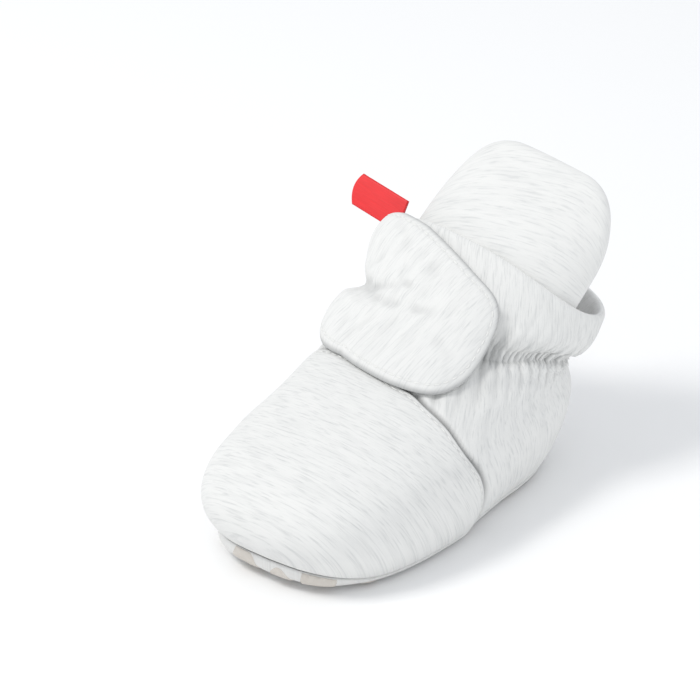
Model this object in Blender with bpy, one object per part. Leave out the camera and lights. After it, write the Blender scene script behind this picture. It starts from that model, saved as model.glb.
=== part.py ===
"""Slipper sock for a baby's left foot: padded sole with grip dots, hollow upper, tongue, strap, tag.

Lengths are millimetres until a mesh is made. The toe points to -Y, the outer side of the foot is +X,
the floor is Z = 0 and the origin is on the floor under the middle of the sole.
"""
from collections import namedtuple

import bmesh
import bpy
import numpy as np

MM = 0.001

# Driving sizes
SOLE_LENGTH = 114.0
BALL_WIDTH = 59.2
INSTEP_HEIGHT = 42.5
HEEL_HEIGHT = 33.3
WALL = 2.5
GAP = 0.3

# Finishes, with colours in linear RGB
Finish = namedtuple("Finish", "name colour roughness")
SOLE_FINISH = Finish("padded sole", (0.76, 0.75, 0.73), 0.8)
GRIP_FINISH = Finish("grip print", (0.64, 0.60, 0.55), 0.6)
INSOLE_FINISH = Finish("footbed", (0.84, 0.84, 0.83), 0.9)
UPPER_FINISH = Finish("padded jersey", (0.80, 0.80, 0.79), 0.9)
TONGUE_FINISH = Finish("tongue jersey", (0.82, 0.82, 0.81), 0.9)
STRAP_FINISH = Finish("strap jersey", (0.80, 0.80, 0.79), 0.9)
TAG_FINISH = Finish("red ribbon", (0.85, 0.05, 0.05), 0.5)

# The upper's sections, a closed ring in each row, from the sole seam up to the collar's rim.
# front_y and back_y are parts of the sole length, front_z of the instep height, back_z of the heel
# height and half_width of the ball width. widest says where along the ring it is widest, the powers
# make its front and back rounder (2) or squarer (3). bend swings the toe and shift all but the heel
# towards the inner side, in mm. roll tips the ring to the outer side, drop bows it down behind its
# front, and waist draws it in along the arch.
Ring = namedtuple("Ring", "front_y front_z back_y back_z half_width widest front_power back_power "
                          "bend shift roll drop waist")
RINGS = [
    Ring(-0.500, 0.185, 0.500, 0.210, 0.500, 0.40, 2.9, 2.6, 2.0, 0.0, 0.00, 1.00, 0.08),
    Ring(-0.529, 0.332, 0.523, 0.390, 0.547, 0.40, 2.9, 2.6, 2.2, 0.0, 0.00, 1.00, 0.05),
    Ring(-0.516, 0.518, 0.530, 0.586, 0.547, 0.42, 2.9, 2.6, 2.2, 0.0, 0.00, 1.00, 0.02),
    Ring(-0.443, 0.682, 0.525, 0.722, 0.524, 0.45, 2.7, 2.6, 1.7, 0.5, 0.00, 1.00, 0.00),
    Ring(-0.320, 0.812, 0.514, 0.815, 0.500, 0.50, 2.5, 2.5, 1.0, 1.7, 0.01, 1.00, 0.00),
    Ring(-0.180, 0.918, 0.500, 0.880, 0.496, 0.50, 2.4, 2.4, 0.0, 3.2, 0.03, 1.00, 0.00),
    Ring(-0.048, 1.000, 0.488, 0.930, 0.484, 0.50, 2.5, 2.3, 0.0, 4.0, 0.04, 1.20, 0.00),
    Ring(+0.044, 1.129, 0.480, 0.975, 0.466, 0.50, 2.5, 2.2, 0.0, 3.6, 0.06, 1.60, 0.00),
    Ring(+0.110, 1.270, 0.480, 1.030, 0.464, 0.50, 2.5, 2.2, 0.0, 3.3, 0.08, 1.90, 0.00),
    Ring(+0.167, 1.412, 0.505, 1.140, 0.494, 0.50, 2.5, 2.2, 0.0, 3.4, 0.10, 2.20, 0.00),
    Ring(+0.215, 1.541, 0.542, 1.310, 0.528, 0.50, 2.5, 2.2, 0.0, 3.0, 0.12, 2.50, 0.00),
    Ring(+0.254, 1.640, 0.567, 1.500, 0.542, 0.50, 2.5, 2.2, 0.0, 2.2, 0.14, 2.80, 0.00),
]
RIM = len(RINGS) - 1
WAIST_AT = 0.66
WAIST_SPREAD = 0.15
RING_SAMPLES = 241
NORMAL_STEP = 0.01

# Upper's mesh and throat slit, as steps round half a ring and places between the rings
WAY_STEPS = 24
ROW_STEP = 0.5
SLIT_COLUMNS = (15, 18)
SLIT_FOOT = 6.5

# Strap: places round the upper, with the rings that its lower and upper edges follow
StrapSection = namedtuple("StrapSection", "way lower_row upper_row")
STRAP = [
    StrapSection(-0.42, 5.4, 11.0),
    StrapSection(-0.36, 5.5, 11.0),
    StrapSection(-0.25, 5.7, 10.9),
    StrapSection(-0.12, 5.9, 10.6),
    StrapSection(+0.00, 5.8, 10.2),
    StrapSection(+0.12, 5.7, 9.7),
    StrapSection(+0.27, 5.5, 9.2),
]
STRAP_EDGE = 2.2
STRAP_MIDDLE = 4.2
STRAP_CROWN_ACROSS = 5
STRAP_CROWN_ALONG = 8
STRAP_CORNER_FROM = 0.15
STRAP_CORNER_POWER = 3.2
STRAP_BLUNT = 0.004
STRAP_COLUMNS = 23
STRAP_ROWS = 9

# Tongue: the part in the throat follows the upper's inside between two rows, with its inner and outer
# edges at ways round the upper. The free part runs on past the collar, its outer edge more upright.
TONGUE_FOOT = 6.5
TONGUE_LEAVES = 10.2
TONGUE_INNER_EDGE = (-0.25, -0.35)
TONGUE_OUTER_EDGE = (0.27, 0.49)
TONGUE_THROAT_SHARE = 0.5
TONGUE_FREE = 36.0
TONGUE_CORNER_FROM = 0.30
TONGUE_CORNER = 0.40
TONGUE_LEAN = 45.0
TONGUE_OUTER_LEAN = 66.0
TONGUE_TWIST = 0.22
TONGUE_EDGE = 2.4
TONGUE_MIDDLE = 4.6
TONGUE_CROWN_ACROSS = 4
TONGUE_CROWN_ALONG = 6
TONGUE_CLEAR = 0.8
TONGUE_COLUMNS = 15
TONGUE_ROWS = 15

# Sole, as a pad between two crowned faces that meet at the seam
SOLE_SEAM_DROP = 0.3
SOLE_EDGE = 0.6
SOLE_UNDERSIDE = 0.8
SOLE_ROLL_FROM = 0.78
SOLE_ROLL_POWER = 2.4
SOLE_DISH = 1.2
SOLE_DISH_POWER = 3
TOE_SPRING = 1.6
TOE_SPRING_FROM = -34.0
ARCH_RISE = 1.6
ARCH_AT = (-26.0, 12.0)
ARCH_REACH = (11.0, 20.0)
ARCH_CUT = 0.1
SOLE_COLUMNS = 40
SOLE_RINGS = (1.0, 0.985, 0.95, 0.89, 0.80, 0.55, 0.25)
INSOLE_RINGS = (0.885, 0.75, 0.49, 0.22)
INSOLE_THICK = 1.8

# Grip dots: distance from the toe end of the sole, place across it (inner side negative), diameter
Dot = namedtuple("Dot", "from_toe across diameter")
DOTS = [
    Dot(94.9, -20.2, 10.4), Dot(102.2, -12.0, 7.6), Dot(109.2, -1.4, 12.0), Dot(108.4, 10.9, 11.0),
    Dot(87.9, -15.4, 5.5), Dot(93.6, -4.7, 12.9), Dot(98.0, 7.0, 9.2), Dot(99.9, 16.6, 6.5),
    Dot(77.4, -21.6, 8.4), Dot(83.4, -7.1, 6.0), Dot(74.8, -12.4, 9.0), Dot(79.2, 0.0, 9.9),
    Dot(86.2, 10.7, 14.2), Dot(90.9, 21.8, 8.4), Dot(57.3, -25.6, 11.5), Dot(64.2, -16.9, 8.8),
    Dot(68.7, -4.3, 6.2), Dot(77.7, 20.5, 6.4), Dot(54.0, -10.1, 14.0), Dot(59.6, 2.4, 10.2),
    Dot(68.1, 11.8, 14.2), Dot(48.4, -20.0, 5.7), Dot(38.1, -24.7, 12.0), Dot(43.0, -10.5, 6.3),
    Dot(29.3, -26.8, 5.6), Dot(33.7, -14.4, 9.5), Dot(38.3, -1.5, 9.8), Dot(47.4, 7.9, 14.6),
    Dot(53.6, 20.0, 9.6), Dot(26.1, -19.6, 5.7), Dot(20.3, -24.3, 8.5), Dot(11.7, -20.1, 5.5),
    Dot(17.0, -10.4, 14.0), Dot(28.2, -0.4, 6.5), Dot(28.5, 13.1, 14.8), Dot(38.8, 17.6, 6.3),
    Dot(17.5, 4.9, 10.0), Dot(4.3, -8.3, 9.0), Dot(5.7, 6.5, 11.0), Dot(17.9, 19.7, 6.0),
]
DOT_SIDES = 12
DOT_EDGE = 0.93

# Side tag, a folded ribbon sewn in at the strap's inner root, that stands out to the inner side
TAG_WAY = -0.44
TAG_ROWS = (10.5, 11.9)
TAG_SEAT = 0.5
TAG_OUT = (-0.97, 0.0, 0.22)
TAG_LENGTH = 18.0
TAG_THICK = 1.2
TAG_STEPS = 6
TAG_CURL = 1.5


def ring_curve(ring, way):
    """Points of one ring. way is 0 at the front, +1 and -1 at the back, by the outer and inner side."""
    front = ring.front_y * SOLE_LENGTH
    back = ring.back_y * SOLE_LENGTH
    angle = np.linspace(0.0, np.pi, RING_SAMPLES)
    forward = np.cos(angle)
    middle = front + (back - front) * ring.widest
    power = np.where(forward > 0, ring.front_power, ring.back_power)
    reach = np.where(forward > 0, middle - front, back - middle)
    y = middle - reach * np.sign(forward) * np.abs(forward) ** (2 / power)
    x = ring.half_width * BALL_WIDTH * np.sin(angle) ** (2 / power)
    along = np.clip((y - front) / (back - front), 0.0, 1.0)
    x = x * (1 - ring.waist * np.exp(-((along - WAIST_AT) / WAIST_SPREAD) ** 2))
    back_z = ring.back_z * HEEL_HEIGHT
    z = back_z + (ring.front_z * INSTEP_HEIGHT - back_z) * (1 - along) ** ring.drop
    steps = np.sqrt(np.diff(x) ** 2 + np.diff(y) ** 2 + np.diff(z) ** 2)
    travelled = np.concatenate([[0.0], np.cumsum(steps)]) / steps.sum()
    share = np.abs(way)
    side = np.sign(way) * np.interp(share, travelled, x)
    toeward = 1 - np.interp(share, travelled, along)
    return np.stack([
        side - ring.bend * toeward ** 2 - ring.shift * (1 - (1 - toeward) ** 2),
        np.interp(share, travelled, y),
        np.interp(share, travelled, z) - ring.roll * side,
    ], axis=-1)


def upper_points(way, row):
    """Points on the upper's outer face: rings joined by a natural cubic along each way."""
    way, row = np.broadcast_arrays(np.asarray(way, float), np.asarray(row, float))
    shape = way.shape
    way = (way.ravel() + 1) % 2 - 1
    row = row.ravel()
    knots = np.stack([ring_curve(ring, way) for ring in RINGS])
    count = len(RINGS)
    matrix = np.eye(count)
    matrix[range(1, count - 1), range(0, count - 2)] = 1 / 6
    matrix[range(1, count - 1), range(1, count - 1)] = 2 / 3
    matrix[range(1, count - 1), range(2, count)] = 1 / 6
    turn = np.zeros_like(knots)
    turn[1:-1] = knots[2:] - 2 * knots[1:-1] + knots[:-2]
    turn = np.linalg.solve(matrix, turn.reshape(count, -1)).reshape(knots.shape)
    low = np.clip(np.floor(row).astype(int), 0, count - 2)
    pick = np.arange(len(row))
    b = (row - low)[:, None]
    a = 1 - b
    points = a * knots[low, pick] + b * knots[low + 1, pick]
    points += ((a ** 3 - a) * turn[low, pick] + (b ** 3 - b) * turn[low + 1, pick]) / 6
    return points.reshape(shape + (3,))


def upper_normals(way, row):
    """Outward directions of the upper's face, from small steps along and up it."""
    along = upper_points(way + NORMAL_STEP, row) - upper_points(way - NORMAL_STEP, row)
    up = upper_points(way, row + NORMAL_STEP) - upper_points(way, row - NORMAL_STEP)
    normal = np.cross(along, up)
    return normal / np.linalg.norm(normal, axis=-1, keepdims=True)


def sheet_normals(points):
    """Directions across a grid of points whose columns run to the outer side and rows upwards."""
    normal = np.cross(np.gradient(points, axis=1), np.gradient(points, axis=0))
    return normal / np.linalg.norm(normal, axis=-1, keepdims=True)


def cloth(finish):
    """A plain material for one piece."""
    material = bpy.data.materials.new(finish.name)
    material.use_nodes = True
    shader = material.node_tree.nodes["Principled BSDF"]
    shader.inputs["Base Color"].default_value = (*finish.colour, 1.0)
    shader.inputs["Roughness"].default_value = finish.roughness
    shader.inputs["Metallic"].default_value = 0.0
    return material


def add_piece(name, points, faces, material):
    """Make a smooth closed mesh object from points in millimetres."""
    mesh = bpy.data.meshes.new(name)
    mesh.from_pydata((np.asarray(points) * MM).tolist(), [], faces)
    build = bmesh.new()
    build.from_mesh(mesh)
    bmesh.ops.recalc_face_normals(build, faces=build.faces)
    bmesh.ops.triangulate(build, faces=build.faces)
    build.to_mesh(mesh)
    build.free()
    mesh.shade_smooth()
    mesh.materials.append(material)
    piece = bpy.data.objects.new(name, mesh)
    bpy.context.collection.objects.link(piece)
    return piece


def thick_sheet(outer, inner, closed=False, cut=None):
    """Points and faces of a wall between two grids. cut marks the grid cells to leave out."""
    rows, columns = outer.shape[:2]
    spans = columns if closed else columns - 1
    back = rows * columns
    faces = []
    border = {}
    for i in range(rows - 1):
        for j in range(spans):
            if cut is not None and cut[i, j]:
                continue
            k = (j + 1) % columns
            quad = [i * columns + j, i * columns + k, (i + 1) * columns + k, (i + 1) * columns + j]
            faces.append(quad)
            faces.append([back + corner for corner in reversed(quad)])
            for start, end in zip(quad, quad[1:] + quad[:1]):
                if border.pop((end, start), None) is None:
                    border[(start, end)] = True
    faces += [[end, start, back + start, back + end] for start, end in border]
    points = np.concatenate([outer.reshape(-1, 3), inner.reshape(-1, 3)])
    used = sorted({corner for face in faces for corner in face})
    place = {corner: number for number, corner in enumerate(used)}
    return points[used], [[place[corner] for corner in face] for face in faces]


def sole_share(x, y):
    """How far out a point of the sole lies: 0 on the middle, 1 on the sole's outline."""
    ring = RINGS[0]
    front = ring.front_y * SOLE_LENGTH
    back = ring.back_y * SOLE_LENGTH
    middle = front + (back - front) * ring.widest
    along = np.clip((y - front) / (back - front), 0.0, 1.0)
    waist = 1 - ring.waist * np.exp(-((along - WAIST_AT) / WAIST_SPREAD) ** 2)
    across = np.abs(x + ring.bend * (1 - along) ** 2) / (ring.half_width * BALL_WIDTH * waist)
    power = np.where(y < middle, ring.front_power, ring.back_power)
    reach = np.where(y < middle, middle - front, back - middle)
    return (across ** power + (np.abs(y - middle) / reach) ** power) ** (1 / power)


def seam_height(y):
    """Height of the seam between sole and upper, which lifts a little towards the toe."""
    ring = RINGS[0]
    along = np.clip(y / SOLE_LENGTH + 0.5, 0.0, 1.0)
    back_z = ring.back_z * HEEL_HEIGHT
    return back_z + (ring.front_z * INSTEP_HEIGHT - back_z) * (1 - along) - SOLE_SEAM_DROP


def sole_underside(x, y):
    """Flat under heel and forefoot, rolled up at the edge, lifted at the toe and the inner arch."""
    share = np.clip(sole_share(x, y), 0.0, 1.0)
    roll = np.clip((share - SOLE_ROLL_FROM) / (1 - SOLE_ROLL_FROM), 0.0, 1.0)
    toeward = np.clip((TOE_SPRING_FROM - y) / (TOE_SPRING_FROM + SOLE_LENGTH / 2), 0.0, 1.0)
    arch = np.exp(-((x - ARCH_AT[0]) / ARCH_REACH[0]) ** 2 - ((y - ARCH_AT[1]) / ARCH_REACH[1]) ** 2)
    arch = np.clip(arch - ARCH_CUT, 0.0, 1.0)
    level = SOLE_UNDERSIDE + TOE_SPRING * toeward ** 2 + ARCH_RISE * arch
    return level + (seam_height(y) - SOLE_EDGE - level) * (1 - np.sqrt(1 - roll ** SOLE_ROLL_POWER))


def sole_top(x, y):
    """The sole's inner face, dished below the seam."""
    share = np.clip(sole_share(x, y), 0.0, 1.0)
    return seam_height(y) - SOLE_DISH * (1 - share ** SOLE_DISH_POWER)


def outline_rings(shares, columns):
    """Points of rings inside the sole's outline, one ring for each share of its reach."""
    ring = RINGS[0]
    way = np.linspace(-1.0, 1.0, columns, endpoint=False)
    edge = ring_curve(ring, way)[:, :2]
    middle = (ring.front_y + (ring.back_y - ring.front_y) * ring.widest) * SOLE_LENGTH
    centre = np.array([0.0, middle])
    return np.stack([centre + (edge - centre) * share for share in shares]), centre


def pad(shares, columns, lower, upper):
    """A closed pad over rings inside the sole's outline, between two height functions."""
    rings, centre = outline_rings(shares, columns)
    points = []
    faces = []
    for height in (lower, upper):
        start = len(points)
        turned = height is upper
        for ring in rings:
            points += [(x, y, height(x, y)) for x, y in ring]
        points.append((*centre, height(*centre)))
        last = len(rings) - 1
        for j in range(columns):
            k = (j + 1) % columns
            for i in range(last):
                quad = [start + i * columns + j, start + i * columns + k,
                        start + (i + 1) * columns + k, start + (i + 1) * columns + j]
                faces.append(quad[::-1] if turned else quad)
            fan = [start + last * columns + j, start + last * columns + k, len(points) - 1]
            faces.append(fan[::-1] if turned else fan)
    sheet = len(points) // 2
    faces += [[(j + 1) % columns, j, sheet + j, sheet + (j + 1) % columns] for j in range(columns)]
    return points, faces


def make_dots():
    """All grip dots as one set of short pucks that follow the sole's underside."""
    points = []
    faces = []
    angle = np.linspace(0.0, 2 * np.pi, DOT_SIDES, endpoint=False)
    for dot in DOTS:
        x = dot.across + dot.diameter / 2 * np.cos(angle)
        y = dot.from_toe - SOLE_LENGTH / 2 + dot.diameter / 2 * np.sin(angle)
        inwards = np.minimum(1.0, DOT_EDGE / np.maximum(sole_share(x, y), 0.01))
        middle = RINGS[0].front_y * SOLE_LENGTH * (1 - 2 * RINGS[0].widest)
        x = x * inwards
        y = middle + (y - middle) * inwards
        under = sole_underside(x, y)
        start = len(points)
        points += list(zip(x, y, under - SOLE_UNDERSIDE))
        points += list(zip(x, y, under + SOLE_UNDERSIDE))
        near = [start + side for side in range(DOT_SIDES)]
        far = [corner + DOT_SIDES for corner in near]
        faces += [near[::-1], far]
        for side in range(DOT_SIDES):
            other = (side + 1) % DOT_SIDES
            faces.append([near[side], near[other], far[other], far[side]])
    return points, faces


def make_sole():
    """The padded sole with its grip dots joined on."""
    points, faces = pad(SOLE_RINGS, SOLE_COLUMNS, sole_underside, sole_top)
    sole = add_piece("sole", points, faces, cloth(SOLE_FINISH))
    dots = add_piece("dot_forms", *make_dots(), cloth(GRIP_FINISH))
    dots.hide_render = True
    dots.display_type = "WIRE"
    joined = sole.modifiers.new("grip dots", "BOOLEAN")
    joined.operation = "UNION"
    joined.solver = "MANIFOLD"
    joined.object = dots


def make_insole():
    """A thin footbed that lies in the upper on the sole's inner face."""
    points, faces = pad(
        INSOLE_RINGS, SOLE_COLUMNS,
        lambda x, y: sole_top(x, y) + GAP,
        lambda x, y: sole_top(x, y) + GAP + INSOLE_THICK,
    )
    add_piece("insole", points, faces, cloth(INSOLE_FINISH))


def make_upper():
    """Vamp, quarter and collar as one wall, slit open at the throat under the strap."""
    way = np.linspace(-1.0, 1.0, 2 * WAY_STEPS, endpoint=False)
    row = np.arange(0.0, RIM + ROW_STEP / 2, ROW_STEP)
    ways, rows = np.meshgrid(way, row)
    outer = upper_points(ways, rows)
    inner = outer - WALL * upper_normals(ways, rows)
    cut = np.zeros((len(row) - 1, len(way)), bool)
    cut[row[:-1] >= SLIT_FOOT, SLIT_COLUMNS[0]:SLIT_COLUMNS[1]] = True
    points, faces = thick_sheet(outer, inner, closed=True, cut=cut)
    add_piece("upper", points, faces, cloth(UPPER_FINISH))


def make_tongue():
    """The padded tongue: along the throat's inside, then straight up and back out of the collar."""
    across = np.linspace(-1.0, 1.0, TONGUE_COLUMNS)
    place = np.linspace(0.0, 1.0, TONGUE_ROWS)
    inside = place <= TONGUE_THROAT_SHARE
    rows = TONGUE_FOOT + (TONGUE_LEAVES - TONGUE_FOOT) * place[inside] / TONGUE_THROAT_SHARE
    ends = (TONGUE_FOOT, TONGUE_LEAVES)
    inner = np.interp(rows, ends, TONGUE_INNER_EDGE)[:, None]
    outer = np.interp(rows, ends, TONGUE_OUTER_EDGE)[:, None]
    way = inner + (outer - inner) * (across + 1) / 2
    row = np.broadcast_to(rows[:, None], way.shape)
    depth = WALL + TONGUE_CLEAR + TONGUE_MIDDLE / 2
    throat = upper_points(way, row) - depth * upper_normals(way, row)
    lean = np.radians(TONGUE_LEAN + (TONGUE_OUTER_LEAN - TONGUE_LEAN) * np.maximum(across, 0.0) ** 2)
    rise = np.stack([np.full_like(across, TONGUE_TWIST), np.cos(lean), np.sin(lean)], axis=-1)
    past = (place[~inside] - TONGUE_THROAT_SHARE) / (1 - TONGUE_THROAT_SHARE)
    corner = np.clip((np.abs(across) - TONGUE_CORNER_FROM) / (1 - TONGUE_CORNER_FROM), 0.0, 1.0)
    reach = TONGUE_FREE * (1 - TONGUE_CORNER * corner ** 2)
    free = throat[-1] + past[:, None, None] * reach[None, :, None] * rise
    middle = np.concatenate([throat, free])
    across_crown = 1 - np.abs(across) ** TONGUE_CROWN_ACROSS
    along_crown = 1 - np.abs(2 * place - 1) ** TONGUE_CROWN_ALONG
    crown = along_crown[:, None] * across_crown[None, :]
    half_thick = (TONGUE_EDGE + (TONGUE_MIDDLE - TONGUE_EDGE) * crown[:, :, None]) / 2
    normal = sheet_normals(middle)
    points, faces = thick_sheet(middle + half_thick * normal, middle - half_thick * normal)
    add_piece("tongue", points, faces, cloth(TONGUE_FINISH))


def strap_grid():
    """Ways and rows over the strap, with its free corners rounded off."""
    table = np.array(STRAP)
    end = STRAP[-1].way
    way = np.linspace(STRAP[0].way, end - STRAP_BLUNT, STRAP_COLUMNS)
    lower = np.interp(way, table[:, 0], table[:, 1])
    upper = np.interp(way, table[:, 0], table[:, 2])
    tip = np.clip((way - STRAP_CORNER_FROM) / (end - STRAP_CORNER_FROM), 0.0, 1.0)
    half = (upper - lower) / 2 * (1 - tip ** STRAP_CORNER_POWER) ** (1 / STRAP_CORNER_POWER)
    height = np.linspace(-1.0, 1.0, STRAP_ROWS)
    row = (lower + upper) / 2 + height[:, None] * half[None, :]
    return np.broadcast_to(way, row.shape), row, height


def make_strap():
    """The padded strap, laid over the throat a hair above the upper."""
    way, row, height = strap_grid()
    along = np.linspace(-1.0, 1.0, STRAP_COLUMNS)
    across_crown = 1 - np.abs(height) ** STRAP_CROWN_ACROSS
    along_crown = 1 - np.abs(along) ** STRAP_CROWN_ALONG
    crown = across_crown[:, None] * along_crown[None, :]
    thick = STRAP_EDGE + (STRAP_MIDDLE - STRAP_EDGE) * crown[:, :, None]
    normal = upper_normals(way, row)
    below = upper_points(way, row) + GAP * normal
    points, faces = thick_sheet(below + thick * normal, below)
    add_piece("strap", points, faces, cloth(STRAP_FINISH))


def make_tag():
    """The folded ribbon, a small slab that stands out from the upper and curls a little backwards."""
    row = np.array(TAG_ROWS)
    way = np.full(2, TAG_WAY)
    seat = upper_points(way, row) + TAG_SEAT * upper_normals(way, row)
    out = np.linspace(0.0, 1.0, TAG_STEPS)[:, None, None]
    middle = seat + TAG_LENGTH * out * np.array(TAG_OUT) + TAG_CURL * out ** 2 * np.array([0, 1, 0])
    side = TAG_THICK / 2 * sheet_normals(middle)
    points, faces = thick_sheet(middle + side, middle - side)
    add_piece("side_tag", points, faces, cloth(TAG_FINISH))


for old in list(bpy.data.objects):
    bpy.data.objects.remove(old)
make_sole()
make_insole()
make_upper()
make_tongue()
make_strap()
make_tag()
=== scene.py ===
from collections import namedtuple

import bpy
import numpy as np
from mathutils import Matrix, Vector


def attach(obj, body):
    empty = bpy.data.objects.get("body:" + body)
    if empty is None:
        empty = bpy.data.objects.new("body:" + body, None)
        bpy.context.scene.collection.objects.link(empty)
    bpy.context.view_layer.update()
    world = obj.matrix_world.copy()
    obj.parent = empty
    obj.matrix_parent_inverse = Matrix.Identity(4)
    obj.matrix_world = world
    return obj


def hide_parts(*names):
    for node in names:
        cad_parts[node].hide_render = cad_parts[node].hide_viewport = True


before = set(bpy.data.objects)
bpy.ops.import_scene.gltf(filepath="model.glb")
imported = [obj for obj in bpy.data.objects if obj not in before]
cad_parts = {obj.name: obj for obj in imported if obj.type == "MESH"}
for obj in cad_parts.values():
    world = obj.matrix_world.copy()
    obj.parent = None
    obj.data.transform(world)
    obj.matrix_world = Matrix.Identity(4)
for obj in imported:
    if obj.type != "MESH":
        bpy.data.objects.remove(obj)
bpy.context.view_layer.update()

# Sole
# A thin pad of cotton jersey over wadding. Its edge rolls up to the seam, where it is sewn to the upper
# all round, and its underside is soft and slightly uneven.
MM = 0.001
SOLE_LENGTH = 114.0
BALL_WIDTH = 59.2
INSTEP_HEIGHT = 42.5
HEEL_HEIGHT = 33.3
Ring = namedtuple("Ring", "front_y front_z back_y back_z half_width widest front_power back_power "
                          "bend shift roll drop waist")
# The upper's rings from the sole seam up to the collar's rim. The first is the sole's outline.
RINGS = [
    Ring(-0.500, 0.185, 0.500, 0.210, 0.500, 0.40, 2.9, 2.6, 2.0, 0.0, 0.00, 1.00, 0.08),
    Ring(-0.529, 0.332, 0.523, 0.390, 0.547, 0.40, 2.9, 2.6, 2.2, 0.0, 0.00, 1.00, 0.05),
    Ring(-0.516, 0.518, 0.530, 0.586, 0.547, 0.42, 2.9, 2.6, 2.2, 0.0, 0.00, 1.00, 0.02),
    Ring(-0.443, 0.682, 0.525, 0.722, 0.524, 0.45, 2.7, 2.6, 1.7, 0.5, 0.00, 1.00, 0.00),
    Ring(-0.320, 0.812, 0.514, 0.815, 0.500, 0.50, 2.5, 2.5, 1.0, 1.7, 0.01, 1.00, 0.00),
    Ring(-0.180, 0.918, 0.500, 0.880, 0.496, 0.50, 2.4, 2.4, 0.0, 3.2, 0.03, 1.00, 0.00),
    Ring(-0.048, 1.000, 0.488, 0.930, 0.484, 0.50, 2.5, 2.3, 0.0, 4.0, 0.04, 1.20, 0.00),
    Ring(+0.044, 1.129, 0.480, 0.975, 0.466, 0.50, 2.5, 2.2, 0.0, 3.6, 0.06, 1.60, 0.00),
    Ring(+0.110, 1.270, 0.480, 1.030, 0.464, 0.50, 2.5, 2.2, 0.0, 3.3, 0.08, 1.90, 0.00),
    Ring(+0.167, 1.412, 0.505, 1.140, 0.494, 0.50, 2.5, 2.2, 0.0, 3.4, 0.10, 2.20, 0.00),
    Ring(+0.215, 1.541, 0.542, 1.310, 0.528, 0.50, 2.5, 2.2, 0.0, 3.0, 0.12, 2.50, 0.00),
    Ring(+0.254, 1.640, 0.567, 1.500, 0.542, 0.50, 2.5, 2.2, 0.0, 2.2, 0.14, 2.80, 0.00),
]
RIM = len(RINGS) - 1
WAIST_AT = 0.66
WAIST_SPREAD = 0.15
RING_SAMPLES = 241


def ramp(value, start, length):
    """A straight rise from 0 at the start to 1 after one length, level before and after it."""
    return np.clip((value - start) / length, 0.0, 1.0)


def hump(value, centre, width):
    """A bell of height 1 by the Gauss curve, down to 1/e one width from its centre."""
    return np.exp(-((value - centre) / width) ** 2)


def mix(first, second, share):
    """The value that lies one share of the way from the first to the second."""
    return first + (second - first) * share


def joined(*parts):
    """Numbers and arrays side by side along a new last axis, spread to one shape."""
    return np.stack(np.broadcast_arrays(*parts), axis=-1)


def travel(points):
    """Length walked along a line of points, from 0 at its first."""
    steps = np.linalg.norm(np.diff(points, axis=0), axis=1)
    return np.concatenate([[0.0], np.cumsum(steps)])


def along_line(place, travelled, line):
    """Values of a line's columns at places along it, between its points in proportion."""
    return joined(*(np.interp(place, travelled, column) for column in line.T))


def ring_curve(ring, way):
    """Two half superellipses that meet where the ring is widest, walked at equal lengths of arc.

    way is 0 at the front and +1 or -1 at the back, by the outer or the inner side of the foot.
    """
    front = ring.front_y * SOLE_LENGTH
    back = ring.back_y * SOLE_LENGTH
    angle = np.linspace(0.0, np.pi, RING_SAMPLES)
    forward = np.cos(angle)
    middle = mix(front, back, ring.widest)
    power = np.where(forward > 0, ring.front_power, ring.back_power)
    reach = np.where(forward > 0, middle - front, back - middle)
    y = middle - reach * np.sign(forward) * np.abs(forward) ** (2 / power)
    along = ramp(y, front, back - front)
    x = ring.half_width * BALL_WIDTH * np.sin(angle) ** (2 / power)
    x = x * (1 - ring.waist * hump(along, WAIST_AT, WAIST_SPREAD))
    z = mix(ring.back_z * HEEL_HEIGHT, ring.front_z * INSTEP_HEIGHT, (1 - along) ** ring.drop)
    line = joined(x, y, z, 1 - along)
    travelled = travel(line[:, :3])
    x, y, z, toeward = along_line(np.abs(way), travelled / travelled[-1], line).T
    side = np.sign(way) * x
    swing = ring.bend * toeward ** 2 + ring.shift * (1 - (1 - toeward) ** 2)
    return joined(side - swing, y, z - ring.roll * side)


SOLE_CENTRE = mix(RINGS[0].front_y, RINGS[0].back_y, RINGS[0].widest) * SOLE_LENGTH
SETTLE = 5.2
SETTLE_ROWS = 1.5
SETTLE_OUTER_FROM = 0.04
SETTLE_INNER_FROM = 0.26
SETTLE_OVER = 0.22
SETTLE_TUCK = 0.045
SETTLE_HEEL_TUCK = 0.055
SETTLE_HEEL_FROM = 0.47
SETTLE_HEEL_OVER = 0.06


def settled(points, way, row):
    """Let the upper sink over its sole seam: nothing at the toe, fully along both sides and round the heel.

    The drop and the tuck inwards fade up the rows as a bell.
    """
    sunk = np.maximum(ramp(way, SETTLE_OUTER_FROM, SETTLE_OVER), ramp(-way, SETTLE_INNER_FROM, SETTLE_OVER))
    weight = (sunk ** 2 * (3 - 2 * sunk) * hump(row, 0.0, SETTLE_ROWS))[..., None]
    heel = ramp(np.abs(way), SETTLE_HEEL_FROM, SETTLE_HEEL_OVER)[..., None]
    inwards = (np.array([0.0, SOLE_CENTRE, 0.0]) - points) * np.array([1.0, 1.0, 0.0])
    tuck = (SETTLE_TUCK + SETTLE_HEEL_TUCK * heel) * inwards
    return points + weight * (tuck - SETTLE * np.array([0.0, 0.0, 1.0]))


def linear(colour):
    """Linear RGBA of an sRGB hex colour, by the sRGB curve."""
    value = np.array([int(colour[place:place + 2], 16) for place in (1, 3, 5)]) / 255
    curve = np.where(value <= 0.04045, value / 12.92, ((value + 0.055) / 1.055) ** 2.4)
    return (*curve.tolist(), 1.0)


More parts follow.
